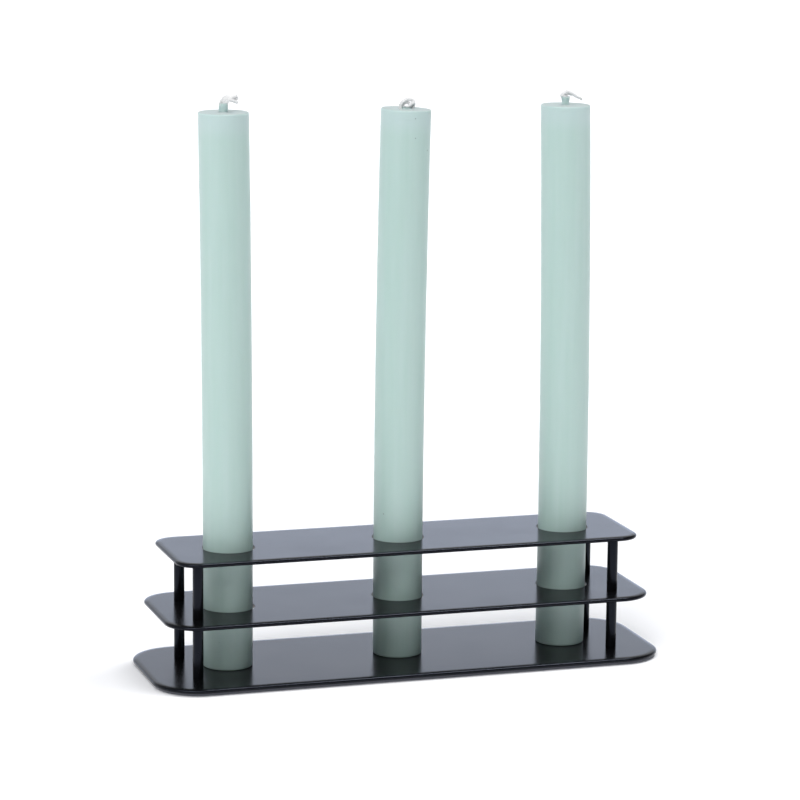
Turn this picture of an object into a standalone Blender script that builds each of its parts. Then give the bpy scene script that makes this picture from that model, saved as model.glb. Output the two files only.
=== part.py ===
"""Tabletop candelabra for three dinner candles, in its own frame: metres, +Z up.

Three black coated steel plates, each larger than the one above, are held apart by
round posts. The candles pass through the top and middle plates and stand on the base.
The origin is on the table under the middle of the base, with the long side along X
and the front facing -Y.
"""

from math import cos, pi, sin, tau

import bmesh
import bpy
from mathutils import Matrix, Vector

# Plates
SHEET = 0.0020  # steel sheet with its coating
TOP_LENGTH = 0.210
TOP_DEPTH = 0.055
TOP_CORNER = 0.010
STEP_OUT = 0.005  # each lower plate stands out this far past the one above, all round
EDGE_ROUNDING = 0.0004
LAYER_SPACE = 0.0242  # clear height between two plates

# Posts and their hidden fasteners
POST_DIAMETER = 0.00465
POST_CHAMFER = 0.0003
POST_INSET_END = 0.0102  # from the top plate's end to the post's axis
POST_INSET_SIDE = 0.0106  # from the top plate's side to the post's axis
THREAD_DIAMETER = 0.0026  # M3, drawn plain at its mean diameter
THREAD_CHAMFER = 0.0003
WELD_STUD_LENGTH = 0.0080
JOINING_STUD_LENGTH = 0.0140
SCREW_LENGTH = 0.0080
HEAD_RECESS = 0.0001  # the screw head lies this far inside the base plate's underside
COUNTERSINK_LAND = 0.0003  # straight part of the hole above the countersink
SOCKET_WIDTH = 0.0020  # across the flats of the hexagon in the screw head
SOCKET_DEPTH = 0.0008

# Feet
PAD_DIAMETER = 0.010
PAD_THICKNESS = 0.0009
PAD_CHAMFER = 0.0002
PAD_INSET_END = 0.033  # from the base plate's end to the pad's centre
PAD_INSET_SIDE = 0.013  # from the base plate's side to the pad's centre

# Candles
CANDLE_DIAMETER = 0.0216
CANDLE_LENGTH = 0.2410
CANDLE_EDGE = 0.0006
CANDLE_INSET = 0.0281  # from the top plate's end to the outer candle's axis
HOLE_CLEARANCE = 0.0004  # all round, between a candle and its hole
COLLAR_WALL = 0.0006  # wax left round the wick above the candle's top
WICK_DIAMETER = 0.0018

# Gap between neighbours that touch on the real object, and round every fastener
GAP = 0.0003

# Heights, from the table up
BASE_UNDERSIDE = PAD_THICKNESS + GAP
MIDDLE_UNDERSIDE = BASE_UNDERSIDE + SHEET + LAYER_SPACE
TOP_UNDERSIDE = MIDDLE_UNDERSIDE + SHEET + LAYER_SPACE
CANDLE_FOOT = BASE_UNDERSIDE + SHEET + GAP

# Centre lines
POST_X = TOP_LENGTH / 2 - POST_INSET_END
POST_Y = TOP_DEPTH / 2 - POST_INSET_SIDE
CANDLE_X = TOP_LENGTH / 2 - CANDLE_INSET
PAD_X = TOP_LENGTH / 2 + 2 * STEP_OUT - PAD_INSET_END
PAD_Y = TOP_DEPTH / 2 + 2 * STEP_OUT - PAD_INSET_SIDE
CORNERS = {
    "front_left": (-1, -1),
    "front_right": (1, -1),
    "back_left": (-1, 1),
    "back_right": (1, 1),
}

# Each candle: its place along X and the height of the wax collar round its wick. Then the
# wick's free end: its highest point and its tip over the candle's top, how far it reaches
# sideways, and its heading in turns about +Z.
CANDLES = {
    "left": dict(x=-CANDLE_X, collar=0.0032, rise=0.0074, tip=0.0062, reach=0.0062, turn=-0.04),
    "middle": dict(x=0.0, collar=0.0008, rise=0.0044, tip=0.0028, reach=0.0034, turn=-0.06),
    "right": dict(x=CANDLE_X, collar=0.0034, rise=0.0062, tip=0.0026, reach=0.0072, turn=-0.05),
}

CORNER_SEGMENTS = 7  # along each rounded corner of a plate
CANDLE_SEGMENTS = 36
HOLE_SEGMENTS = 36
POST_SEGMENTS = 20
FASTENER_SEGMENTS = 14
PAD_SEGMENTS = 20

POST_BORE = THREAD_DIAMETER + 2 * GAP
HOLE_DIAMETER = CANDLE_DIAMETER + 2 * HOLE_CLEARANCE
BOOLEAN_OVERRUN = 0.001  # how far a cutter runs past the face it opens


def clear_scene():
    for leftover in list(bpy.data.objects):
        bpy.data.objects.remove(leftover, do_unlink=True)


def new_collection(name, hidden=False):
    collection = bpy.data.collections.new(name)
    bpy.context.scene.collection.children.link(collection)
    collection.hide_render = hidden
    return collection


def new_material(name, colour, roughness, metallic=0.0):
    material = bpy.data.materials.new(name)
    material.use_nodes = True
    shader = material.node_tree.nodes["Principled BSDF"]
    shader.inputs["Base Color"].default_value = (*colour, 1.0)
    shader.inputs["Roughness"].default_value = roughness
    shader.inputs["Metallic"].default_value = metallic
    return material


def new_object(name, data, collection, location=(0, 0, 0), parent=None, material=None):
    made = bpy.data.objects.new(name, data)
    collection.objects.link(made)
    made.parent = parent
    made.location = Vector(location) - (parent.location if parent else Vector())
    if material:
        data.materials.append(material)
    return made


def circle_points(x, y, diameter, segments):
    radius = diameter / 2
    angles = [tau * i / segments for i in range(segments)]
    return [(x + radius * cos(angle), y + radius * sin(angle)) for angle in angles]


def rounded_rectangle(length, depth, corner):
    """Corner arcs in turn, counter-clockwise; the straight sides join their ends."""
    points = []
    for quarter, (side_x, side_y) in enumerate(((1, 1), (-1, 1), (-1, -1), (1, -1))):
        centre_x = side_x * (length / 2 - corner)
        centre_y = side_y * (depth / 2 - corner)
        for step in range(CORNER_SEGMENTS + 1):
            angle = (quarter + step / CORNER_SEGMENTS) * pi / 2
            points.append((centre_x + corner * cos(angle), centre_y + corner * sin(angle)))
    return points


def add_turned(name, profile, segments, collection, ring=False, **placing):
    """A profile of (radius, height) points turned about Z by a Screw modifier.

    An open profile starts and ends on the axis. A ring is a closed section clear of it.
    """
    mesh = bpy.data.meshes.new(name)
    count = len(profile)
    edges = [(i, (i + 1) % count) for i in range(count if ring else count - 1)]
    mesh.from_pydata([(radius, 0, height) for radius, height in profile], edges, [])
    made = new_object(name, mesh, collection, **placing)
    screw = made.modifiers.new("Turn", "SCREW")
    screw.axis = "Z"
    screw.steps = segments
    screw.render_steps = segments
    screw.use_merge_vertices = True
    screw.merge_threshold = 0.00001
    screw.use_smooth_shade = True
    return made


def plate_curve(name, outline, holes):
    """A flat outline with holes, extruded to the sheet's thickness, its edges rounded."""
    curve = bpy.data.curves.new(name, "CURVE")
    curve.dimensions = "2D"
    curve.fill_mode = "BOTH"
    curve.extrude = SHEET / 2 - EDGE_ROUNDING
    curve.bevel_depth = EDGE_ROUNDING
    curve.bevel_resolution = 0
    curve.offset = -EDGE_ROUNDING
    for loop in [outline, *holes]:
        spline = curve.splines.new("POLY")
        spline.points.add(len(loop) - 1)
        for point, (x, y) in zip(spline.points, loop):
            point.co = (x, y, 0, 1)
        spline.use_cyclic_u = True
    return curve


def meshed(curve_object):
    """The curve object's solid as a mesh object in its place, with its caps welded on."""
    graph = bpy.context.evaluated_depsgraph_get()
    mesh = bpy.data.meshes.new_from_object(curve_object.evaluated_get(graph))
    shape = bmesh.new()
    shape.from_mesh(mesh)
    bmesh.ops.remove_doubles(shape, verts=shape.verts, dist=0.00001)
    bmesh.ops.recalc_face_normals(shape, faces=shape.faces)
    shape.to_mesh(mesh)
    shape.free()
    name, placed, parent = curve_object.name, curve_object.matrix_world.copy(), curve_object.parent
    collection = curve_object.users_collection[0]
    bpy.data.objects.remove(curve_object, do_unlink=True)
    made = bpy.data.objects.new(name, mesh)
    collection.objects.link(made)
    made.parent = parent
    made.matrix_world = placed
    return made


def cut(target, cutter):
    cutter.hide_render = True
    cutter.display_type = "WIRE"
    boolean = target.modifiers.new("Cut", "BOOLEAN")
    boolean.operation = "DIFFERENCE"
    boolean.solver = "EXACT"
    boolean.object = cutter


def plate(name, layer, underside, hole_loops, parts, holder, coating):
    """One of the three plates; layer counts the steps out from the top plate."""
    outline = rounded_rectangle(
        TOP_LENGTH + 2 * layer * STEP_OUT,
        TOP_DEPTH + 2 * layer * STEP_OUT,
        TOP_CORNER + layer * STEP_OUT,
    )
    curve = plate_curve(name, outline, hole_loops)
    return new_object(
        name, curve, parts, location=(0, 0, underside + SHEET / 2), parent=holder, material=coating
    )


def rod_profile(diameter, low, high, chamfer):
    """A plain rod with chamfered ends, as an open profile from top to bottom."""
    radius = diameter / 2
    return [
        (0, high),
        (radius - chamfer, high),
        (radius, high - chamfer),
        (radius, low + chamfer),
        (radius - chamfer, low),
        (0, low),
    ]


def post_profile():
    """A round spacer with a threaded bore right through it, drawn plain."""
    radius, bore = POST_DIAMETER / 2, POST_BORE / 2
    chamfer = min(POST_CHAMFER, (radius - bore) / 2)
    low, high = GAP, LAYER_SPACE - GAP
    return [
        (bore, high),
        (radius - chamfer, high),
        (radius, high - chamfer),
        (radius, low + chamfer),
        (radius - chamfer, low),
        (bore, low),
    ]


def screw_profile():
    """A countersunk screw standing head down, from its tip to the face of its head.

    The head fills the sheet's thickness less the land over it, and its cone is 90 degrees.
    """
    shank = THREAD_DIAMETER / 2
    head_height = SHEET - HEAD_RECESS - COUNTERSINK_LAND - GAP
    head = shank + head_height
    tip = HEAD_RECESS + SCREW_LENGTH
    rim = THREAD_CHAMFER / 2
    return [
        (0, tip),
        (shank - THREAD_CHAMFER, tip),
        (shank, tip - THREAD_CHAMFER),
        (shank, HEAD_RECESS + head_height),
        (head, HEAD_RECESS + rim),
        (head, HEAD_RECESS),
        (0, HEAD_RECESS),
    ]


def clearance_hole_profile():
    """What a stud's hole takes out of a plate: its plain shank with a gap."""
    bore = POST_BORE / 2
    return [
        (0, SHEET + BOOLEAN_OVERRUN),
        (bore, SHEET + BOOLEAN_OVERRUN),
        (bore, -BOOLEAN_OVERRUN),
        (0, -BOOLEAN_OVERRUN),
    ]


def countersink_profile():
    """What the screw's hole takes out of the base plate: its shank and cone with a gap.

    The cone runs on past the underside, so that no edge of the cutter lies in that face.
    """
    shank = POST_BORE / 2
    cone_height = SHEET - COUNTERSINK_LAND
    return [
        (0, SHEET + BOOLEAN_OVERRUN),
        (shank, SHEET + BOOLEAN_OVERRUN),
        (shank, cone_height),
        (shank + cone_height + BOOLEAN_OVERRUN, -BOOLEAN_OVERRUN),
        (0, -BOOLEAN_OVERRUN),
    ]


def candle_profile(collar_height):
    """The wax as a ring round its wick: flat foot, straight side, and a collar on top."""
    radius = CANDLE_DIAMETER / 2
    channel = WICK_DIAMETER / 2 + GAP
    collar = channel + COLLAR_WALL
    return [
        (channel, CANDLE_LENGTH + collar_height),
        (collar, CANDLE_LENGTH + collar_height),
        (collar, CANDLE_LENGTH),
        (radius - CANDLE_EDGE, CANDLE_LENGTH),
        (radius, CANDLE_LENGTH - CANDLE_EDGE),
        (radius, CANDLE_EDGE),
        (radius - CANDLE_EDGE, 0),
        (channel, 0),
    ]


def wick_curve(name, candle):
    """A round cord from the candle's foot up through its collar, bent over to one side."""
    heading = Vector((cos(tau * candle["turn"]), sin(tau * candle["turn"]), 0))
    up = Vector((0, 0, 1))
    radius = WICK_DIAMETER / 2
    reach = candle["reach"]
    neck_height = CANDLE_LENGTH + candle["collar"]
    crown_height = CANDLE_LENGTH + candle["rise"] - radius
    crown = up * crown_height + heading * reach * 0.42
    tip = up * (CANDLE_LENGTH + candle["tip"] - radius) + heading * (reach - radius)
    stiff_bend = 0.6 * (crown_height - neck_height)
    points = (  # place, direction, and the lengths of the handles before and after
        (Vector((0, 0, 0)), up, neck_height / 3, neck_height / 3),
        (up * neck_height, up, neck_height / 3, stiff_bend),
        (crown, heading, reach / 4, reach / 4),
        (tip, (tip - crown).normalized(), reach / 6, reach / 6),
    )
    curve = bpy.data.curves.new(name, "CURVE")
    curve.dimensions = "3D"
    curve.bevel_depth = radius
    curve.bevel_resolution = 1
    curve.use_fill_caps = True
    curve.resolution_u = 5
    spline = curve.splines.new("BEZIER")
    spline.bezier_points.add(len(points) - 1)
    for point, (place, direction, before, after) in zip(spline.bezier_points, points):
        point.handle_left_type = point.handle_right_type = "FREE"
        point.co = place
        point.handle_left = place - direction * before
        point.handle_right = place + direction * after
    spline.use_smooth = True
    return curve


def add_plates(parts, cutters, holder, coating):
    candle_holes = [
        circle_points(candle["x"], 0, HOLE_DIAMETER, HOLE_SEGMENTS) for candle in CANDLES.values()
    ]
    plate("top_plate", 0, TOP_UNDERSIDE, candle_holes, parts, holder, coating)
    for name, layer, underside, hole_loops, profile in (
        ("middle_plate", 1, MIDDLE_UNDERSIDE, candle_holes, clearance_hole_profile()),
        ("base_plate", 2, BASE_UNDERSIDE, [], countersink_profile()),
    ):
        made = meshed(plate(name, layer, underside, hole_loops, parts, holder, coating))
        for corner, (x, y) in CORNERS.items():
            cutter = add_turned(
                f"{name}_hole_{corner}",
                profile,
                FASTENER_SEGMENTS,
                cutters,
                location=(x * POST_X, y * POST_Y, underside),
            )
            cut(made, cutter)


def add_posts(parts, holder, coating):
    for layer, seat in (("lower", BASE_UNDERSIDE + SHEET), ("upper", MIDDLE_UNDERSIDE + SHEET)):
        for corner, (x, y) in CORNERS.items():
            add_turned(
                f"{layer}_post_{corner}",
                post_profile(),
                POST_SEGMENTS,
                parts,
                ring=True,
                location=(x * POST_X, y * POST_Y, seat),
                parent=holder,
                material=coating,
            )


def add_studs(parts, holder, plated):
    """Studs on the top plate's underside, and studs that join the posts through the middle plate."""
    weld = TOP_UNDERSIDE - GAP
    weld_stud = rod_profile(THREAD_DIAMETER, weld - WELD_STUD_LENGTH, weld, THREAD_CHAMFER)
    middle = MIDDLE_UNDERSIDE + SHEET / 2
    half = JOINING_STUD_LENGTH / 2
    joining_stud = rod_profile(THREAD_DIAMETER, middle - half, middle + half, THREAD_CHAMFER)
    for kind, profile in (("weld_stud", weld_stud), ("joining_stud", joining_stud)):
        for corner, (x, y) in CORNERS.items():
            add_turned(
                f"{kind}_{corner}",
                profile,
                FASTENER_SEGMENTS,
                parts,
                location=(x * POST_X, y * POST_Y, 0),
                parent=holder,
                material=plated,
            )


def add_screws(parts, cutters, holder, plated):
    for corner, (x, y) in CORNERS.items():
        place = (x * POST_X, y * POST_Y, BASE_UNDERSIDE)
        screw = add_turned(
            f"base_screw_{corner}",
            screw_profile(),
            FASTENER_SEGMENTS,
            parts,
            location=place,
            parent=holder,
            material=plated,
        )
        shape = bmesh.new()
        across_corners = SOCKET_WIDTH / cos(pi / 6)
        bmesh.ops.create_cone(
            shape,
            cap_ends=True,
            segments=6,
            radius1=across_corners / 2,
            radius2=across_corners / 2,
            depth=SOCKET_DEPTH + BOOLEAN_OVERRUN,
            matrix=Matrix.Translation((0, 0, (SOCKET_DEPTH - BOOLEAN_OVERRUN) / 2 + HEAD_RECESS)),
        )
        mesh = bpy.data.meshes.new("socket_" + corner)
        shape.to_mesh(mesh)
        shape.free()
        cut(screw, new_object("socket_" + corner, mesh, cutters, location=place))


def add_pads(parts, holder, rubber):
    profile = rod_profile(PAD_DIAMETER, 0, PAD_THICKNESS, PAD_CHAMFER)
    for corner, (x, y) in CORNERS.items():
        add_turned(
            f"foot_pad_{corner}",
            profile,
            PAD_SEGMENTS,
            parts,
            location=(x * PAD_X, y * PAD_Y, 0),
            parent=holder,
            material=rubber,
        )


def add_candles(parts, wax, cotton):
    for side, candle in CANDLES.items():
        foot = (candle["x"], 0, CANDLE_FOOT)
        lift_axis = new_object(f"{side}_candle_axis", None, parts, location=foot)
        add_turned(
            f"candle_{side}",
            candle_profile(candle["collar"]),
            CANDLE_SEGMENTS,
            parts,
            ring=True,
            location=foot,
            parent=lift_axis,
            material=wax,
        )
        curve = wick_curve(f"wick_{side}", candle)
        new_object(f"wick_{side}", curve, parts, location=foot, parent=lift_axis, material=cotton)


def build():
    clear_scene()
    parts = new_collection("Candelabra")
    cutters = new_collection("Cutters", hidden=True)
    coating = new_material("black_powder_coat", (0.010, 0.010, 0.012), 0.22)
    plated = new_material("zinc_plated_steel", (0.62, 0.63, 0.65), 0.35, metallic=1.0)
    rubber = new_material("black_rubber", (0.020, 0.020, 0.020), 0.80)
    wax = new_material("sage_wax", (0.42, 0.60, 0.54), 0.45)
    cotton = new_material("wick_cotton", (0.80, 0.80, 0.76), 0.90)
    holder = new_object("holder", None, parts)
    add_plates(parts, cutters, holder, coating)
    add_posts(parts, holder, coating)
    add_studs(parts, holder, plated)
    add_screws(parts, cutters, holder, plated)
    add_pads(parts, holder, rubber)
    add_candles(parts, wax, cotton)


build()
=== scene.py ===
from math import ceil, cos, exp, pi, radians, sin, tau
from random import Random

import bmesh
import bpy
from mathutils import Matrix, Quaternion, Vector, noise


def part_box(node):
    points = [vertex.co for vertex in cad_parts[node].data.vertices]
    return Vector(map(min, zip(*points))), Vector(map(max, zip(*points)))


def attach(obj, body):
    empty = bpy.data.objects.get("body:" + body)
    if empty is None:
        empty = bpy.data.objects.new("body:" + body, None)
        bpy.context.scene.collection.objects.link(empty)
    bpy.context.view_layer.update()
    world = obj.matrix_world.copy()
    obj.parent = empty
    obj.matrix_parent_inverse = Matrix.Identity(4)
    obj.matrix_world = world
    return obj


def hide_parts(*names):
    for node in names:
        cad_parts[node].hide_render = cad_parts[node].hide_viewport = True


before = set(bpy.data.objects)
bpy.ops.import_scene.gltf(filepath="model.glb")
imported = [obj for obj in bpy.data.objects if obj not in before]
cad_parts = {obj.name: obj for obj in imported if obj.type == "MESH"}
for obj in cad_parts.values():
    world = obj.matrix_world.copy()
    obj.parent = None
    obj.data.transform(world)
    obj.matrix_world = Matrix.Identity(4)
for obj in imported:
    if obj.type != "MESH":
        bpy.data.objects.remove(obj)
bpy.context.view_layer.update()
MM = 0.001


# ---------------------------------------------------------------- plates
# Three rectangles of 2 mm steel sheet, laser cut with rounded corners, tumbled so that the
# outer edges are round, and powder coated black. The coating rolls off over the last
# millimetres before an edge.

TOP_CORNER = 10 * MM  # each lower plate's corners keep the same centres
EDGE_RADIUS = 0.84 * MM
ROLL_RADIUS = 12 * MM
ROLL_ANGLE = radians(9)  # slope of the coating where the roll-off meets the round edge
EDGE_STEPS = 8
ROLL_STEPS = 5
CORNER_STEPS = 28
SHARP_EDGE = radians(40)  # a steeper fold than this stays crisp


def linear(code, alpha=1.0):
    """A colour from its sRGB hex code, as the renderer takes it."""
    parts = [int(code[i : i + 2], 16) / 255 for i in (1, 3, 5)]
    return [p / 12.92 if p <= 0.04045 else ((p + 0.055) / 1.055) ** 2.4 for p in parts] + [alpha]


def new_material(name):
    """A material with its node tree and the shader in it."""
    made = bpy.data.materials.new(name)
    made.use_nodes = True
    return made, made.node_tree, made.node_tree.nodes["Principled BSDF"]


def node(tree, kind, inputs, **settings):
    """Adds a node. Each input is a value, an output to link to it, or a node with one output."""
    made = tree.nodes.new("ShaderNode" + kind)
    for name, value in settings.items():
        setattr(made, name, value)
    for name, value in inputs.items():
        socket = next(s for s in made.inputs if s.name == name and s.enabled)
        if isinstance(value, bpy.types.Node):
            value = next(output for output in value.outputs if output.enabled)
        if isinstance(value, bpy.types.NodeSocket):
            tree.links.new(value, socket)
        else:
            socket.default_value = value
    return made


def spread(tree, pattern, low, high):
    """A noise's values stretched over a range."""
    return node(
        tree,
        "MapRange",
        {
            "Value": pattern.outputs["Fac"],
            "From Min": NOISE_LOW,
            "From Max": NOISE_HIGH,
            "To Min": low,
            "To Max": high,
        },
    )


def blend(tree, factor, first, second):
    """A colour between two. Each is a hex code or an output."""
    first, second = (linear(c) if isinstance(c, str) else c for c in (first, second))
    return node(tree, "Mix", {"Factor": factor, "A": first, "B": second}, data_type="RGBA")


def object_from(shape, name, material):
    """The finished bmesh as a smooth object whose sharp edges stay crisp."""
    bmesh.ops.recalc_face_normals(shape, faces=shape.faces)
    mesh = bpy.data.meshes.new(name)
    shape.to_mesh(mesh)
    shape.free()
    mesh.shade_smooth()
    mesh.set_sharp_from_angle(angle=SHARP_EDGE)
    mesh.materials.append(material)
    made = bpy.data.objects.new(name, mesh)
    bpy.context.scene.collection.objects.link(made)
    return made


# Semi-gloss black powder coat: a smooth film with a faint orange peel, a little uneven in
# gloss, and a few specks of dust caught in it.
COAT_BLACK, COAT_BLUE_BLACK, DUST_SPECK = "#09090A", "#0F1012", "#3A3D40"
COAT_REFLECTION = "#C4CFEE"  # seen straight on
PEEL_SIZE, PEEL_DEPTH = 1.6 * MM, 0.02 * MM
GLOSS_PATCH = 22 * MM
GLOSSIEST, DULLEST = 0.19, 0.23  # roughness
DUST_SPACING = 16 * MM
DUST_RADIUS = 0.16 * MM
SOFT_RIM = 1.6  # a speck has faded out at this many times its radius
# A noise stays mostly between these two, so its whole spread is used.
NOISE_LOW, NOISE_HIGH = 0.3, 0.7

powder_coat, tree, shader = new_material("black_powder_coat")
place = node(tree, "TexCoord", {}).outputs["Object"]
patches = node(tree, "TexNoise", {"Vector": place, "Scale": 1 / GLOSS_PATCH, "Detail": 3.0})
peel = node(tree, "TexNoise", {"Vector": place, "Scale": 1 / PEEL_SIZE, "Detail": 2.0})
cells = node(tree, "TexVoronoi", {"Vector": place, "Scale": 1 / DUST_SPACING})
speck = node(
    tree,
    "MapRange",
    {
        "Value": cells.outputs["Distance"],
        "From Min": DUST_RADIUS / DUST_SPACING,
        "From Max": SOFT_RIM * DUST_RADIUS / DUST_SPACING,
        "To Min": 1.0,
        "To Max": 0.0,
    },
)
film = blend(tree, patches.outputs["Fac"], COAT_BLACK, COAT_BLUE_BLACK)
dusty = blend(tree, speck.outputs[0], film, DUST_SPECK)
gloss = spread(tree, patches, GLOSSIEST, DULLEST)
peel_bump = node(
    tree, "Bump", {"Height": peel.outputs["Fac"], "Strength": 0.12, "Distance": PEEL_DEPTH}
)
tree.links.new(dusty.outputs[2], shader.inputs["Base Color"])
tree.links.new(gloss.outputs[0], shader.inputs["Roughness"])
tree.links.new(peel_bump.outputs[0], shader.inputs["Normal"])
shader.inputs["IOR"].default_value = 1.5
# Its fine grain dulls it and leaves it a little blue, seen straight on.
shader.inputs["Specular IOR Level"].default_value = 0.24
shader.inputs["Specular Tint"].default_value = linear(COAT_REFLECTION)


def edge_rings(half_sheet):
    """(distance in from the wall, height over the middle) of each ring up the round edge."""
    round_top = EDGE_RADIUS * cos(ROLL_ANGLE) + ROLL_RADIUS * (1 - cos(ROLL_ANGLE))
    rings = []
    for step in range(EDGE_STEPS + 1):
        tilt = pi / 2 + (ROLL_ANGLE - pi / 2) * step / EDGE_STEPS
        height = half_sheet - round_top + EDGE_RADIUS * cos(tilt)
        rings.append((EDGE_RADIUS * (1 - sin(tilt)), height))
    inset, height = rings[-1]
    for step in range(1, ROLL_STEPS + 1):
        tilt = ROLL_ANGLE * (1 - step / ROLL_STEPS)
        along = ROLL_RADIUS * (sin(ROLL_ANGLE) - sin(tilt))
        up = ROLL_RADIUS * (cos(tilt) - cos(ROLL_ANGLE))
        rings.append((inset + along, height + up))
    rings.append((rings[-1][0] + EDGE_RADIUS, rings[-1][1]))  # flat, so that shading starts level
    return rings


def plate(name, cad_node):
    """The sheet: its outline, raised ring by ring to the top face, then mirrored."""
    low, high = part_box(cad_node)
    top_low, top_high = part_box("top_plate")
    size = high - low
    corner = TOP_CORNER + (size.x - (top_high.x - top_low.x)) / 2
    shape = bmesh.new()
    bmesh.ops.create_grid(shape, x_segments=1, y_segments=1, size=0.5)
    bmesh.ops.scale(shape, vec=(size.x, size.y, 1), verts=shape.verts)
    bmesh.ops.bevel(
        shape, geom=shape.verts[:], offset=corner, offset_type="OFFSET", segments=CORNER_STEPS,
        profile=0.5, affect="VERTICES", material=-1,
    )
    face = shape.faces[:]
    inset, height = 0.0, 0.0
    for ring_inset, ring_height in edge_rings(size.z / 2):
        bmesh.ops.inset_region(
            shape, faces=face, thickness=ring_inset - inset, use_boundary=True, use_even_offset=True
        )
        bmesh.ops.translate(shape, vec=(0, 0, ring_height - height), verts=face[0].verts)
        inset, height = ring_inset, ring_height
    bmesh.ops.mirror(
        shape, geom=shape.verts[:] + shape.edges[:] + shape.faces[:], axis="Z", merge_dist=1e-6
    )
    bmesh.ops.translate(shape, vec=(low + high) / 2, verts=shape.verts)
    return object_from(shape, name, powder_coat)


base = plate("base_sheet", "base_plate")
middle = plate("middle_sheet", "middle_plate")
top = plate("top_sheet", "top_plate")
for piece, cad_node in ((base, "base_plate"), (middle, "middle_plate"), (top, "top_plate")):
    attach(piece, "holder")
    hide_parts(cad_node)


# ---------------------------------------------------------------- holes in the plates
# The top and middle plates have three laser cut holes that hold the candles upright, with
# crisp edges and a thin dark gap all round. The middle one is also drilled for the studs
# between the posts, and the base plate is drilled and countersunk from below for its screws.

CANDLE_HOLE_RADIUS = 11.5 * MM
CANDLE_HOLE_STEPS = 96
HOLE_CHAMFER = 0.04 * MM
SCREW_HOLE_RADIUS = 1.6 * MM
SCREW_HOLE_STEPS = 32
COUNTERSINK_LAND = 0.3 * MM
DRILL_OVERRUN = 1 * MM


def turned(profile, steps, ring=False):
    """A profile of (radius, height) points turned about Z. A ring's profile is a loop."""
    shape = bmesh.new()
    points = [shape.verts.new((radius, 0, height)) for radius, height in profile]
    for start, end in zip(points, points[1:] + points[:1] if ring else points[1:]):
        shape.edges.new((start, end))
    bmesh.ops.spin(
        shape, geom=shape.verts[:] + shape.edges[:], cent=(0, 0, 0), axis=(0, 0, 1),
        steps=steps, angle=tau, use_merge=True,
    )
    bmesh.ops.remove_doubles(shape, verts=shape.verts, dist=1e-7)
    return shape


def drill(piece, profile, steps, centres):
    """Cuts the same turned shape out of the piece at each centre."""
    bits = []
    for x, y in centres:
        shape = turned(profile, steps)
        bmesh.ops.translate(shape, vec=(x, y, 0), verts=shape.verts)
        bits.append(object_from(shape, "drill_bit", powder_coat))
        cut = piece.modifiers.new("Drill", "BOOLEAN")
        cut.operation, cut.solver, cut.object = "DIFFERENCE", "EXACT", bits[-1]
    bpy.context.view_layer.update()
    piece.data = bpy.data.meshes.new_from_object(
        piece.evaluated_get(bpy.context.evaluated_depsgraph_get())
    )
    piece.modifiers.clear()
    piece.data.set_sharp_from_angle(angle=SHARP_EDGE)
    for bit in bits:
        bpy.data.objects.remove(bit)


def centre_of(cad_node):
    low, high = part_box(cad_node)
    return (low + high) / 2


def through_hole(radius, chamfer, low, high):
    """The drill for a hole whose two edges are chamfered."""
    widest = radius + chamfer + DRILL_OVERRUN
    return [
        (0, high + DRILL_OVERRUN),
        (widest, high + DRILL_OVERRUN),
        (radius, high - chamfer),
        (radius, low + chamfer),
        (widest, low - DRILL_OVERRUN),
        (0, low - DRILL_OVERRUN),
    ]


CORNERS = ("front_left", "front_right", "back_left", "back_right")
post_axes = [centre_of(f"lower_post_{corner}").xy for corner in CORNERS]
candle_axes = [(centre_of(f"candle_{side}").x, 0) for side in ("left", "middle", "right")]
base_under, base_top = (corner.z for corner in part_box("base_plate"))
middle_under, middle_top = (corner.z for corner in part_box("middle_plate"))
top_under, top_top = (corner.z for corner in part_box("top_plate"))

for piece, low, high in ((top, top_under, top_top), (middle, middle_under, middle_top)):
    hole = through_hole(CANDLE_HOLE_RADIUS, HOLE_CHAMFER, low, high)
    drill(piece, hole, CANDLE_HOLE_STEPS, candle_axes)
hole = through_hole(SCREW_HOLE_RADIUS, HOLE_CHAMFER, middle_under, middle_top)
drill(middle, hole, SCREW_HOLE_STEPS, post_axes)
cone_top = base_top - COUNTERSINK_LAND
cone = (SCREW_HOLE_RADIUS + cone_top - base_under + DRILL_OVERRUN, base_under - DRILL_OVERRUN)
countersink = [
    (0, base_top + DRILL_OVERRUN),
    (SCREW_HOLE_RADIUS, base_top + DRILL_OVERRUN),
    (SCREW_HOLE_RADIUS, cone_top),
    cone,
    (0, base_under - DRILL_OVERRUN),
]
drill(base, countersink, SCREW_HOLE_STEPS, post_axes)


# ---------------------------------------------------------------- posts
# Eight turned steel spacers, tapped right through and coated like the sheets. Their ends
# are chamfered, so a fine dark line shows where each one meets a sheet.

POST_STEPS = 56
POST_EDGE = 0.25 * MM
POST_EDGE_STEPS = 4


def rounded_corner(radius, height, size, outward, upward, steps):
    """Points round a quarter circle, from its side to its end face."""
    points = []
    for step in range(steps + 1):
        angle = pi / 2 * step / steps
        points.append(
            (radius + outward * size * (cos(angle) - 1), height + upward * size * (sin(angle) - 1))
        )
    return points


for layer, low_end, high_end in (("lower", base_top, middle_under), ("upper", middle_top, top_under)):
    for corner, (x, y) in zip(CORNERS, post_axes):
        low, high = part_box(f"{layer}_post_{corner}")
        radius = (high.x - low.x) / 2
        profile = rounded_corner(radius, high_end, POST_EDGE, 1, 1, POST_EDGE_STEPS)[::-1]
        profile += rounded_corner(radius, low_end, POST_EDGE, 1, -1, POST_EDGE_STEPS)
        profile += [(SCREW_HOLE_RADIUS, low_end), (SCREW_HOLE_RADIUS, high_end)]
        shape = turned(profile, POST_STEPS, ring=True)
        bmesh.ops.translate(shape, vec=(x, y, 0), verts=shape.verts)
        post = object_from(shape, f"{layer}_spacer_{corner}", powder_coat)
        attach(post, "holder")
        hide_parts(f"{layer}_post_{corner}")


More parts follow.
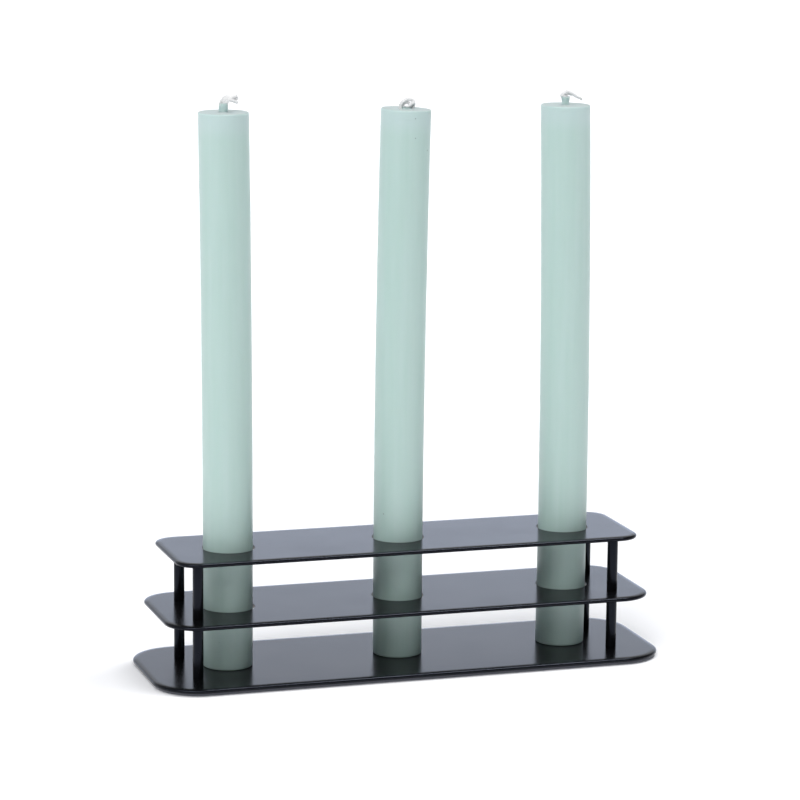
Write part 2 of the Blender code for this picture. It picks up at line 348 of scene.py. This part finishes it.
# ---------------------------------------------------------------- studs and screws
# M3 hardware with a rolled thread: studs welded under the top sheet, studs through the
# middle sheet, and hexagon socket countersunk screws up through the base. Bright zinc
# plating gives it a pale, slightly mottled metal look.

THREAD_PITCH = 0.5 * MM
THREAD_CREST, THREAD_ROOT = 1.47 * MM, 1.19 * MM
RINGS_PER_PITCH = 4
THREAD_STEPS = 24
THREAD_FADE = 0.6 * MM
HEAD_STEPS = 48
HEAD_RECESS, HEAD_EDGE = 0.1 * MM, 0.1 * MM
SOCKET_ACROSS_FLATS = 2.0 * MM
SOCKET_DEPTH = 0.8 * MM
SOCKET_RING = 1.05  # the ring that becomes the hexagon, in half widths
ZINC_PALE, ZINC_DULL = "#D3D6D9", "#B9BEC4"
ZINC_BRIGHTEST, ZINC_DULLEST = 0.24, 0.38  # roughness
SPANGLE_SIZE = 1.2 * MM

zinc_plating, tree, shader = new_material("bright_zinc_plating")
place = node(tree, "TexCoord", {}).outputs["Object"]
spangle = node(tree, "TexNoise", {"Vector": place, "Scale": 1 / SPANGLE_SIZE, "Detail": 3.0})
tone = blend(tree, spangle.outputs["Fac"], ZINC_PALE, ZINC_DULL)
shine = spread(tree, spangle, ZINC_BRIGHTEST, ZINC_DULLEST)
tree.links.new(tone.outputs[2], shader.inputs["Base Color"])
tree.links.new(shine.outputs[0], shader.inputs["Roughness"])
shader.inputs["Metallic"].default_value = 1.0


def thread_profile(low, high):
    """A plain rod's side, with enough rings up it to carry the thread."""
    radius = (THREAD_CREST + THREAD_ROOT) / 2
    count = ceil((high - low) / THREAD_PITCH * RINGS_PER_PITCH)
    return [(radius, high + (low - high) * ring / count) for ring in range(count + 1)]


def cut_thread(shape, low, high):
    """Moves the rod's side in and out along a helix, running out at both ends."""
    middle_radius, depth = (THREAD_CREST + THREAD_ROOT) / 2, (THREAD_CREST - THREAD_ROOT) / 2
    for point in shape.verts:
        across = point.co.xy
        if low < point.co.z < high and abs(across.length - middle_radius) < depth / 2:
            turns = point.co.z / THREAD_PITCH - across.angle_signed(Vector((1, 0))) / tau
            wave = 4 * abs(turns % 1 - 0.5) - 1
            fade = min(1, (point.co.z - low) / THREAD_FADE, (high - point.co.z) / THREAD_FADE)
            point.co.xy = across.normalized() * (middle_radius + depth * wave * fade)


def hexagon_socket(shape, radius):
    """Turns the rings of this radius into hexagons of the socket's width."""
    for point in shape.verts:
        across = point.co.xy
        if abs(across.length - radius) < 1e-6:
            from_flat = (across.angle_signed(Vector((1, 0))) + pi / 6) % (pi / 3) - pi / 6
            point.co.xy = across.normalized() * SOCKET_ACROSS_FLATS / 2 / cos(from_flat)


for kind in ("weld_stud", "joining_stud"):
    for corner, (x, y) in zip(CORNERS, post_axes):
        low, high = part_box(f"{kind}_{corner}")
        end = top_under if kind == "weld_stud" else high.z
        side = thread_profile(low.z, end)
        shape = turned([(0, end), *side, (0, low.z)], THREAD_STEPS)
        cut_thread(shape, low.z, end)
        bmesh.ops.translate(shape, vec=(x, y, 0), verts=shape.verts)
        stud = object_from(shape, f"threaded_{kind}_{corner}", zinc_plating)
        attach(stud, "holder")
        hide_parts(f"{kind}_{corner}")

for corner, (x, y) in zip(CORNERS, post_axes):
    low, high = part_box(f"base_screw_{corner}")
    head_radius = (high.x - low.x) / 2
    face, tip = base_under + HEAD_RECESS, high.z
    shank = (THREAD_CREST + THREAD_ROOT) / 2
    neck = face + head_radius - shank
    socket = SOCKET_ACROSS_FLATS / 2 * SOCKET_RING
    profile = [(0, tip), *thread_profile(neck, tip), (head_radius, face + HEAD_EDGE)]
    profile += [(head_radius - HEAD_EDGE, face), (socket, face), (socket, face + SOCKET_DEPTH)]
    profile += [(0, face + SOCKET_DEPTH)]
    shape = turned(profile, HEAD_STEPS)
    cut_thread(shape, neck, tip)
    hexagon_socket(shape, socket)
    bmesh.ops.translate(shape, vec=(x, y, 0), verts=shape.verts)
    screw = object_from(shape, f"socket_screw_{corner}", zinc_plating)
    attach(screw, "holder")
    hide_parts(f"base_screw_{corner}")


# ---------------------------------------------------------------- feet
# Four small discs punched from black rubber sheet, stuck under the base. They lift it a
# millimetre, which leaves a dark line of shadow under its edge.

PAD_STEPS = 48
PAD_EDGE = 0.15 * MM
RUBBER_DARK, RUBBER_BLOOM = "#161616", "#262523"
RUBBER_GRAIN, RUBBER_SKIN = 0.5 * MM, 0.03 * MM

foot_rubber, tree, shader = new_material("punched_black_rubber")
place = node(tree, "TexCoord", {}).outputs["Object"]
grain = node(tree, "TexNoise", {"Vector": place, "Scale": 1 / RUBBER_GRAIN, "Detail": 4.0})
tone = blend(tree, grain.outputs["Fac"], RUBBER_DARK, RUBBER_BLOOM)
skin = node(
    tree, "Bump", {"Height": grain.outputs["Fac"], "Strength": 0.4, "Distance": RUBBER_SKIN}
)
tree.links.new(tone.outputs[2], shader.inputs["Base Color"])
tree.links.new(skin.outputs[0], shader.inputs["Normal"])
shader.inputs["Roughness"].default_value = 0.8
shader.inputs["IOR"].default_value = 1.52

for corner in CORNERS:
    low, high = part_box(f"foot_pad_{corner}")
    radius, centre = (high.x - low.x) / 2, centre_of(f"foot_pad_{corner}")
    profile = [(0, base_under)]
    profile += rounded_corner(radius, base_under, PAD_EDGE, 1, 1, POST_EDGE_STEPS)[::-1]
    profile += rounded_corner(radius, low.z, PAD_EDGE, 1, -1, POST_EDGE_STEPS)
    profile += [(0, low.z)]
    shape = turned(profile, PAD_STEPS)
    bmesh.ops.translate(shape, vec=(centre.x, centre.y, 0), verts=shape.verts)
    pad = object_from(shape, f"rubber_disc_{corner}", foot_rubber)
    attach(pad, "holder")
    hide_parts(f"foot_pad_{corner}")


# ---------------------------------------------------------------- candles
# Dinner candles of dyed paraffin wax, drawn and cut, each a little bent. The top is cut
# flat round a stub of wax on the wick, and the foot stands on the base. Satin wax lets
# some light in, so its edges look soft. A pale band under the rim is a painted highlight,
# and the cut top is painted greyer as painted shade.

CANDLE_STEPS = 160
SIDE_RINGS = 60
RIM_RINGS = 24
RIM_HEIGHT = 8 * MM  # stretch under the top that is modelled finely
TOP_EDGE, FOOT_EDGE = 0.7 * MM, 0.6 * MM
TOP_EDGE_STEPS = 8
TOP_DISH = 0.25 * MM
TOP_STEPS = 12
STUB_FILLET, STUB_FILLET_STEPS = 0.5 * MM, 5
STUB_EDGE, STUB_EDGE_STEPS = 0.3 * MM, 4
STUB_STEPS = 12
STUB_HOLLOW = 0.45  # its end dips inside this share of its radius
STUB_SHALLOW, STUB_DEEP = 0.1 * MM, 0.15 * MM
LUMP_SIZE, LUMP_REACH = 1.3 * MM, 3 * MM  # the torn wax round the wick
LUMP_OUT, LUMP_UP = 0.22 * MM, 0.2 * MM
RIPPLE = 0.05 * MM  # how far the drawn side wanders in and out
RIPPLE_LENGTH = 14 * MM

# For each candle, in mm: where its foot stands off the hole's axis, its lean, and how far it
# bends off a straight line over BEND_LENGTH; the slope of its top; the stub's radius, height
# and flare; and the drips under its rim, as (across, down, half width, half height, tilt).
BEND_LENGTH = 31.6
CANDLES = {
    "left": dict(
        foot=(-0.34, 0.0), lean=(0.0024, 0.0), bend=-0.041, slope=0.0, stub=(1.9, 3.7, 0.0),
        drips=(),
    ),
    "middle": dict(
        foot=(0.23, 0.32), lean=(-0.0087, -0.012), bend=0.051, slope=-0.045,
        stub=(2.3, 0.7, 0.0),
        drips=(
            (-1.7, 2.0, 0.9, 0.45, 0.0),
            (-1.8, 3.6, 1.5, 0.5, 0.0),
            (-5.5, 3.1, 1.3, 0.4, 0.9),
        ),
    ),
    "right": dict(
        foot=(-0.35, 0.1), lean=(0.010, -0.004), bend=-0.075, slope=-0.01, stub=(1.7, 3.5, 0.2),
        drips=((-3.9, 1.5, 1.7, 0.5, 0.1),),
    ),
}
DRIP_RISE = 0.13 * MM
# The third colour is painted paler under the rim: a painted highlight.
WAX_SAGE, WAX_DEEP, WAX_PAINTED_HIGHLIGHT = "#BED3D0", "#B1CCC5", "#C5D5D8"
STREAK_WIDTH, STREAK_DEPTH = 3.0 * MM, 0.05 * MM
SATIN, SATIN_DULLEST = 0.34, 0.44  # roughness
PAINTED_HIGHLIGHT_STRENGTH = 0.40
CUT_ROUGHNESS_AND_SHADE = 0.75  # the cut top is this rough, and painted this much greyer as painted shade
PAINTED_HIGHLIGHT_DEPTH = 6 * MM
MARK_SPACING, MARK_RADIUS, MARK_STRENGTH = 13 * MM, 0.25 * MM, 0.7
# The second colour is painted on the up-facing cut top: painted shade that dulls it.
MARK_DARK, WAX_TOP_PAINTED_SHADE = "#6F8580", "#A9B3B3"

CANDLE_LENGTH = 241 * MM

wax_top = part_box("candle_left")[0].z + CANDLE_LENGTH

sage_wax, tree, shader = new_material("dyed_paraffin_wax")
place = node(tree, "TexCoord", {}).outputs["Object"]
height = node(tree, "SeparateXYZ", {"Vector": place}).outputs["Z"]
drawn = node(tree, "Mapping", {"Vector": place, "Scale": (1, 1, 0.05)})
streaks = node(tree, "TexNoise", {"Vector": drawn, "Scale": 1 / STREAK_WIDTH, "Detail": 4.0})
clouds = node(tree, "TexNoise", {"Vector": place, "Scale": 1 / RIPPLE_LENGTH, "Detail": 3.0})
uneven = blend(tree, streaks.outputs["Fac"], WAX_SAGE, WAX_DEEP)
# Paler towards the rim and fading out further down: a painted highlight.
painted_highlight_band = node(
    tree,
    "MapRange",
    {
        "Value": height,
        "From Min": wax_top - 2 * PAINTED_HIGHLIGHT_DEPTH,
        "From Max": wax_top - 0.7 * PAINTED_HIGHLIGHT_DEPTH,
        "To Min": 0.0,
        "To Max": PAINTED_HIGHLIGHT_STRENGTH,
    },
    interpolation_type="SMOOTHSTEP",
)
with_painted_highlight = blend(tree, painted_highlight_band, uneven.outputs[2], WAX_PAINTED_HIGHLIGHT)
facing = node(tree, "NewGeometry", {}).outputs["Normal"]
upward = node(tree, "SeparateXYZ", {"Vector": facing}).outputs["Z"]
# Up-facing faces, the cut top: rougher, and painted greyer there as painted shade.
cut = node(
    tree,
    "MapRange",
    {"Value": upward, "From Min": 0.3, "From Max": 0.9, "To Min": 0.0, "To Max": CUT_ROUGHNESS_AND_SHADE},
)
with_painted_top_shade = blend(tree, cut, with_painted_highlight.outputs[2], WAX_TOP_PAINTED_SHADE)
cells = node(tree, "TexVoronoi", {"Vector": place, "Scale": 1 / MARK_SPACING})
mark = node(
    tree,
    "MapRange",
    {
        "Value": cells.outputs["Distance"],
        "From Min": MARK_RADIUS / MARK_SPACING,
        "From Max": SOFT_RIM * MARK_RADIUS / MARK_SPACING,
        "To Min": MARK_STRENGTH,
        "To Max": 0.0,
    },
)
marked = blend(tree, mark, with_painted_top_shade.outputs[2], MARK_DARK)
satin = spread(tree, clouds, SATIN, SATIN_DULLEST)
surface = node(tree, "Math", {}, operation="MAXIMUM")
tree.links.new(satin.outputs[0], surface.inputs[0])
tree.links.new(cut.outputs[0], surface.inputs[1])
drag = node(
    tree, "Bump", {"Height": streaks.outputs["Fac"], "Strength": 0.25, "Distance": STREAK_DEPTH}
)
tree.links.new(marked.outputs[2], shader.inputs["Base Color"])
tree.links.new(surface.outputs[0], shader.inputs["Roughness"])
tree.links.new(drag.outputs[0], shader.inputs["Normal"])
shader.inputs["IOR"].default_value = 1.44
shader.inputs["Subsurface Weight"].default_value = 0.6
shader.inputs["Subsurface Radius"].default_value = (1.0, 1.0, 0.9)
shader.inputs["Subsurface Scale"].default_value = 2.0 * MM


def candle_profile(radius, foot, stub_radius, stub_height, flare):
    """Up the side from the foot, over the dished top, and up the stub to the axis."""
    profile = [(0, foot), (radius - FOOT_EDGE, foot)]
    profile += rounded_corner(radius, foot, FOOT_EDGE, 1, -1, POST_EDGE_STEPS)[::-1]
    fine = wax_top - RIM_HEIGHT
    for n in range(1, SIDE_RINGS):
        height = foot + FOOT_EDGE + (fine - foot - FOOT_EDGE) * n / SIDE_RINGS
        profile.append((radius, height))
    for n in range(RIM_RINGS):
        profile.append((radius, fine + (RIM_HEIGHT - TOP_EDGE) * n / RIM_RINGS))
    profile += rounded_corner(radius, wax_top, TOP_EDGE, 1, 1, TOP_EDGE_STEPS)
    wall = stub_radius * MM
    flat = radius - TOP_EDGE - wall - STUB_FILLET
    for n in range(1, TOP_STEPS + 1):
        inwards = radius - TOP_EDGE - flat * n / TOP_STEPS
        profile.append((inwards, wax_top - TOP_DISH * sin(pi / 2 * n / TOP_STEPS)))
    bowl = wax_top - TOP_DISH
    for n in range(1, STUB_FILLET_STEPS + 1):
        angle = pi / 2 * n / STUB_FILLET_STEPS
        profile.append((wall + STUB_FILLET * (1 - sin(angle)), bowl + STUB_FILLET * (1 - cos(angle))))
    stub_top = wax_top + stub_height * MM
    low_wall = bowl + STUB_FILLET
    for n in range(1, STUB_STEPS):
        share = n / STUB_STEPS
        height = low_wall + (stub_top - low_wall) * n / STUB_STEPS
        profile.append((wall * (1 + flare * share**4), height))
    profile += rounded_corner(wall * (1 + flare), stub_top, STUB_EDGE, 1, 1, STUB_EDGE_STEPS)
    profile += [(wall * STUB_HOLLOW, stub_top - STUB_SHALLOW), (0, stub_top - STUB_DEEP)]
    return profile


def axis_shift(bent, height):
    """How far the candle's axis lies from the hole's axis, at a height in mm over its foot."""
    bow = bent["bend"] * (height / BEND_LENGTH) ** 2
    across = bent["foot"][0] + bent["lean"][0] * height + bow
    return Vector((across * MM, (bent["foot"][1] + bent["lean"][1] * height) * MM, 0))


def bend_and_ripple(shape, bent, centre, foot, radius):
    """Gives the turned candle its bend, its uneven side, its sloping top and its rough stub."""
    for point in shape.verts:
        place = point.co.copy()
        around = Vector((place.x, place.y, 0))
        wander = noise.noise((place + centre * 7) / RIPPLE_LENGTH)
        if around.length > radius * 0.9:
            point.co += around.normalized() * RIPPLE * wander
            for across, down, half_width, half_height, tilt in bent["drips"]:
                x, z = place.x / MM - across, (place.z - wax_top) / MM + down
                x, z = x * cos(tilt) + z * sin(tilt), z * cos(tilt) - x * sin(tilt)
                if place.y < 0:
                    swell = exp(-((x / half_width) ** 2) - (z / half_height) ** 2)
                    point.co += around.normalized() * DRIP_RISE * swell
        over_top = place.z - (wax_top - TOP_EDGE)
        if over_top > 0:
            point.co.z += place.x * bent["slope"] * min(1, over_top / TOP_EDGE)
            lump = noise.noise((place + centre * 3) / LUMP_SIZE)
            if around.length < LUMP_REACH:
                point.co += around.normalized() * LUMP_OUT * lump
                point.co.z += LUMP_UP * lump
        point.co += axis_shift(bent, (place.z - foot) / MM)
    bmesh.ops.translate(shape, vec=centre, verts=shape.verts)


for side, bent in CANDLES.items():
    low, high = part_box(f"candle_{side}")
    axis = Vector(((low.x + high.x) / 2, (low.y + high.y) / 2, 0))
    radius = (high.x - low.x) / 2
    shape = turned(candle_profile(radius, base_top, *bent["stub"]), CANDLE_STEPS)
    bend_and_ripple(shape, bent, axis, base_top, radius)
    candle = object_from(shape, f"dinner_candle_{side}", sage_wax)
    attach(candle, f"{side}_candle")
    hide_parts(f"candle_{side}")


# ---------------------------------------------------------------- wicks
# Bleached cotton wicks of three plies, drawn out of the wax and bent over, a little
# untwisted, with loose fibres standing off them. Matt white, a little greyed in patches.

PLIES = 3
PLY_STEP = 0.12 * MM
TWIST_PITCH = 2.6 * MM
PLY_SIDES = 3
FIBRE_RADIUS = 0.035 * MM  # real lint is a third of this, too fine to show
FIBRES_PER_YARN = 60
FIBRE_SHORTEST, FIBRE_LONGEST = 0.4 * MM, 1.3 * MM
COTTON_WHITE, COTTON_GREY = "#F7F6F5", "#D6D8DA"
LINT_SIZE, LINT_DEPTH = 0.35 * MM, 0.05 * MM

# Each yarn of a wick: its half thickness in mm at its two ends, then its places as (across,
# away, up) in mm from the middle of the candle's top.
YARNS = {
    "left": [
        (0.90, 0.70, (0.5, 0, 2.6), (0.3, 0, 4.6), (1.3, 0, 5.7), (3.1, 0, 5.7),
         (4.7, 0, 6.3), (6.0, 0, 6.8)),
        (0.80, 0.60, (1.0, -0.5, 2.6), (1.7, -0.6, 4.8), (3.3, -0.7, 4.9),
         (4.8, -0.6, 4.3), (6.2, -0.5, 3.8)),
        (0.70, 0.50, (2.0, 0.5, 5.2), (4.0, 0.5, 5.3), (5.6, 0.4, 5.2), (6.5, 0.3, 5.7)),
        (0.60, 0.50, (-0.5, 0.4, 2.6), (-0.4, 0.4, 5.0), (0.8, 0.4, 6.3), (2.6, 0.4, 6.4)),
        (0.36, 0.22, (-1.45, -0.7, 2.2), (-1.6, -0.7, 4.0), (-1.35, -0.6, 5.0)),
    ],
    "middle": [
        (0.75, 0.70, (-2.4, -0.2, -0.8), (-2.6, -0.2, 1.3), (-1.6, -0.1, 2.8), (0.2, 0, 3.7),
         (2.1, 0, 3.8), (3.3, 0, 2.8), (3.4, 0, 1.2), (2.5, 0, -0.8)),
        (0.75, 0.55, (3.4, -0.7, 2.7), (1.8, -0.9, 1.7), (-0.4, -1.0, 0.1)),
        (0.60, 0.60, (-1.5, 0.4, -0.8), (-1.2, 0.4, 1.5), (0.4, 0.5, 2.5),
         (1.8, 0.4, 1.7), (1.7, 0.4, -0.8)),
    ],
    "right": [
        (0.95, 0.50, (-0.8, 0, 2.4), (-1.3, 0, 4.2), (-0.5, 0, 5.1), (0.9, 0, 5.5),
         (2.7, 0, 4.8), (5.0, 0, 3.4), (6.8, 0, 2.6), (7.7, 0, 1.8)),
        (0.60, 0.38, (-0.3, -0.5, 2.8), (-1.4, -0.5, 4.0), (-2.8, -0.5, 3.9)),
        (0.60, 0.40, (0.4, 0.3, 2.6), (0.7, 0.4, 4.5), (1.9, 0.4, 4.4), (2.9, 0.3, 3.9)),
    ],
}

bleached_cotton, tree, shader = new_material("bleached_cotton_yarn")
place = node(tree, "TexCoord", {}).outputs["Object"]
lint = node(tree, "TexNoise", {"Vector": place, "Scale": 1 / LINT_SIZE, "Detail": 4.0})
tone = blend(tree, lint.outputs["Fac"], COTTON_WHITE, COTTON_GREY)
fuzz = node(tree, "Bump", {"Height": lint.outputs["Fac"], "Strength": 0.5, "Distance": LINT_DEPTH})
tree.links.new(tone.outputs[2], shader.inputs["Base Color"])
tree.links.new(fuzz.outputs[0], shader.inputs["Normal"])
shader.inputs["Roughness"].default_value = 0.9
shader.inputs["IOR"].default_value = 1.53
shader.inputs["Sheen Weight"].default_value = 0.3


def smooth_path(places, step):
    """Points a step apart on a smooth curve through the given places."""
    ends = [2 * places[0] - places[1], *places, 2 * places[-1] - places[-2]]
    path = []
    for a, b, c, d in zip(ends, ends[1:], ends[2:], ends[3:]):
        count = max(2, round((c - b).length / step))
        square, cube = 2 * a - 5 * b + 4 * c - d, 3 * b - a - 3 * c + d
        for n in range(count):
            t = n / count
            path.append(0.5 * (2 * b + (c - a) * t + square * t**2 + cube * t**3))
    return [*path, places[-1]]


def add_strand(curve, points, radii):
    """One ply or fibre of the wick, as a round strand along these points."""
    spline = curve.splines.new("POLY")
    spline.points.add(len(points) - 1)
    for point, place, radius in zip(spline.points, points, radii):
        point.co = (*place, 1)
        point.radius = radius


def add_yarn(curve, places, start, end, chance):
    """A yarn of twisted plies that thins towards its end, with loose fibres."""
    path = smooth_path(places, PLY_STEP)
    side = Vector((0, 1, 0))
    directions = [(b - a).normalized() for a, b in zip(path, path[1:])]
    directions.append(directions[-1])
    frames = []
    for direction in directions:
        side = (side - direction * side.dot(direction)).normalized()
        frames.append((side.copy(), direction.cross(side)))
    share = [n / (len(path) - 1) for n in range(len(path))]
    thickness = [start + (end - start) * part for part in share]
    for ply in range(PLIES):
        points = []
        for n, (place, (across, beside)) in enumerate(zip(path, frames)):
            turn = tau * (ply / PLIES + n * PLY_STEP / TWIST_PITCH)
            points.append(place + (across * cos(turn) + beside * sin(turn)) * thickness[n] * 0.5)
        radii = [t * 0.56 * min(1, 0.4 + 8 * (1 - part)) for t, part in zip(thickness, share)]
        add_strand(curve, points, radii)
    for _ in range(FIBRES_PER_YARN):
        n = chance.randrange(len(path) // 4, len(path))
        across, beside = frames[n]
        turn = chance.uniform(0, tau)
        out = across * cos(turn) + beside * sin(turn)
        along = directions[n] * chance.uniform(-1, 1.5)
        root = path[n] + out * thickness[n] * 0.7
        length = chance.uniform(FIBRE_SHORTEST, FIBRE_LONGEST)
        middle = root + (out * 0.5 + along * 0.5) * length * 0.5
        tip = root + (out * chance.uniform(0.2, 0.9) + along) * length * 0.7
        add_strand(curve, [root, middle, tip], [FIBRE_RADIUS, FIBRE_RADIUS, FIBRE_RADIUS * 0.4])


for number, (side, bent) in enumerate(CANDLES.items()):
    low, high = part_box(f"candle_{side}")
    axis = Vector(((low.x + high.x) / 2, (low.y + high.y) / 2, 0))
    foot = axis + axis_shift(bent, (wax_top - base_top) / MM) + Vector((0, 0, wax_top))
    curve = bpy.data.curves.new("wick_line", "CURVE")
    curve.dimensions = "3D"
    curve.bevel_depth = 1.0
    curve.bevel_resolution = PLY_SIDES
    curve.use_fill_caps = True
    chance = Random(number + 1)
    for start, end, *places in YARNS[side]:
        add_yarn(curve, [foot + Vector(p) * MM for p in places], start * MM, end * MM, chance)
    line = bpy.data.objects.new("wick_line", curve)
    bpy.context.scene.collection.objects.link(line)
    shape = bmesh.new()
    graph = bpy.context.evaluated_depsgraph_get()
    shape.from_mesh(bpy.data.meshes.new_from_object(line.evaluated_get(graph)))
    bpy.data.objects.remove(line)
    wick = object_from(shape, f"cotton_wick_{side}", bleached_cotton)
    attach(wick, f"{side}_candle")
    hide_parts(f"wick_{side}")


# ---------------------------------------------------------------- stage, light and camera
# A white sweep lit until it burns out, with two softboxes above the camera and a lamp
# overhead at the right, which draws the light line along the plates' front edges. The
# studio behind is pale and slightly blue near the floor. It is dark on the camera's side.

SWEEP_HALF = 20.0
SWEEP_WHITE, SWEEP_COOL = "#FCFCFD", "#E4EBFF"
SWEEP_GLOW = 0.075  # a little light comes through the paper
# The room's glow on each side, from the floor up. The low glow behind has a blue tint.
STOPS = (0.0, 0.12, 0.3, 0.55, 0.8, 1.0)  # sine of the angle over the floor
GLOWS = {
    "back": (0.82, 2.13, 0.80, 0.29, 0.24, 0.0),
    "right": (0.07, 0.03, 0.29, 0.10, 0.16, 0.0),
    "front": (0.0, 0.0, 0.0, 0.06, 0.92, 0.0),
    "left": (0.01, 0.0, 1.14, 0.32, 0.54, 0.0),
}
BLUE_TINT = Vector((0.87, 1.0, 1.28))
NEUTRAL = Vector((1.0, 1.0, 1.0))
TINTED_BELOW = 0.2
SOFTBOXES = {  # turn and rise round the object, from the camera's side, then spread and strength
    "key_softbox": (radians(-30), radians(45), radians(35), 1.1),
    "fill_softbox": (radians(0), radians(45), radians(35), 0.76),
    "overhead_lamp": (radians(107.7), radians(72), radians(16), 1.5),
}
AIM = Vector((0.0004, 0.0, 0.1168))
TURN, RISE, ROLL = radians(-17.655), radians(10.704), radians(0.532)
DISTANCE = 1.4443
FOCAL_LENGTH, SENSOR_WIDTH = 148.85, 36  # mm

floor_shape = bmesh.new()
bmesh.ops.create_grid(floor_shape, x_segments=1, y_segments=1, size=SWEEP_HALF)
floor_material, tree, shader = new_material("white_paper_floor")
shader.inputs["Base Color"].default_value = linear(SWEEP_WHITE)
shader.inputs["Emission Color"].default_value = linear(SWEEP_COOL)
shader.inputs["Emission Strength"].default_value = SWEEP_GLOW
shader.inputs["Roughness"].default_value = 0.9
floor = object_from(floor_shape, "floor", floor_material)

world = bpy.data.worlds.new("soft_white_room")
bpy.context.scene.world = world
world.use_nodes = True
tree = world.node_tree
direction = node(tree, "TexCoord", {}).outputs["Generated"]
height = node(tree, "SeparateXYZ", {"Vector": direction}).outputs["Z"]
level = node(tree, "VectorMath", {"Vector": direction}, operation="MULTIPLY")
level.inputs[1].default_value = (1, 1, 0)
heading = node(tree, "VectorMath", {"Vector": level}, operation="NORMALIZE")
glow = None
for number, (side, strengths) in enumerate(GLOWS.items()):
    turn = TURN - number * pi / 2
    facing = node(tree, "VectorMath", {"Vector": heading}, operation="DOT_PRODUCT")
    facing.inputs[1].default_value = (-sin(turn), cos(turn), 0)
    share = node(tree, "Math", {}, operation="MAXIMUM")
    tree.links.new(facing.outputs["Value"], share.inputs[0])
    share.inputs[1].default_value = 0.0
    weight = node(tree, "Math", {}, operation="MULTIPLY")
    tree.links.new(share.outputs[0], weight.inputs[0])
    tree.links.new(share.outputs[0], weight.inputs[1])
    ramp = node(tree, "ValToRGB", {"Fac": height})
    elements = ramp.color_ramp.elements
    elements[0].position, elements[1].position = STOPS[0], STOPS[-1]
    for stop in STOPS[1:-1]:
        elements.new(stop)
    for element, stop, strength in zip(elements, STOPS, strengths):
        tint = BLUE_TINT if side == "back" and stop < TINTED_BELOW else NEUTRAL
        element.color = (*(tint * strength), 1)
    part = node(tree, "VectorMath", {"Vector": ramp.outputs["Color"]}, operation="SCALE")
    tree.links.new(weight.outputs[0], part.inputs["Scale"])
    if glow:
        whole = node(tree, "VectorMath", {"Vector": glow}, operation="ADD")
        tree.links.new(part.outputs[0], whole.inputs[1])
        part = whole
    glow = part.outputs[0]
tree.links.new(glow, tree.nodes["Background"].inputs["Color"])


def away_from_object(turn, rise):
    """The direction from the object to something at this turn and height round it."""
    return Vector((sin(turn) * cos(rise), -cos(turn) * cos(rise), sin(rise)))


for name, (turn, rise, spread, strength) in SOFTBOXES.items():
    light = bpy.data.lights.new(name, "SUN")
    light.angle, light.energy = spread, strength
    lamp = bpy.data.objects.new(name, light)
    lamp.rotation_mode = "QUATERNION"
    lamp.rotation_quaternion = away_from_object(TURN + turn, rise).to_track_quat("Z", "Y")
    bpy.context.scene.collection.objects.link(lamp)

camera = bpy.data.cameras.new("camera")
camera.lens = FOCAL_LENGTH
camera.sensor_width = SENSOR_WIDTH
back = away_from_object(TURN, RISE)
viewer = bpy.data.objects.new("camera", camera)
viewer.location = AIM + back * DISTANCE
viewer.rotation_mode = "QUATERNION"
viewer.rotation_quaternion = (-back).to_track_quat("-Z", "Y") @ Quaternion((0, 0, 1), ROLL)
bpy.context.scene.collection.objects.link(viewer)
bpy.context.scene.camera = viewer
bpy.context.scene.view_settings.view_transform = "Standard"
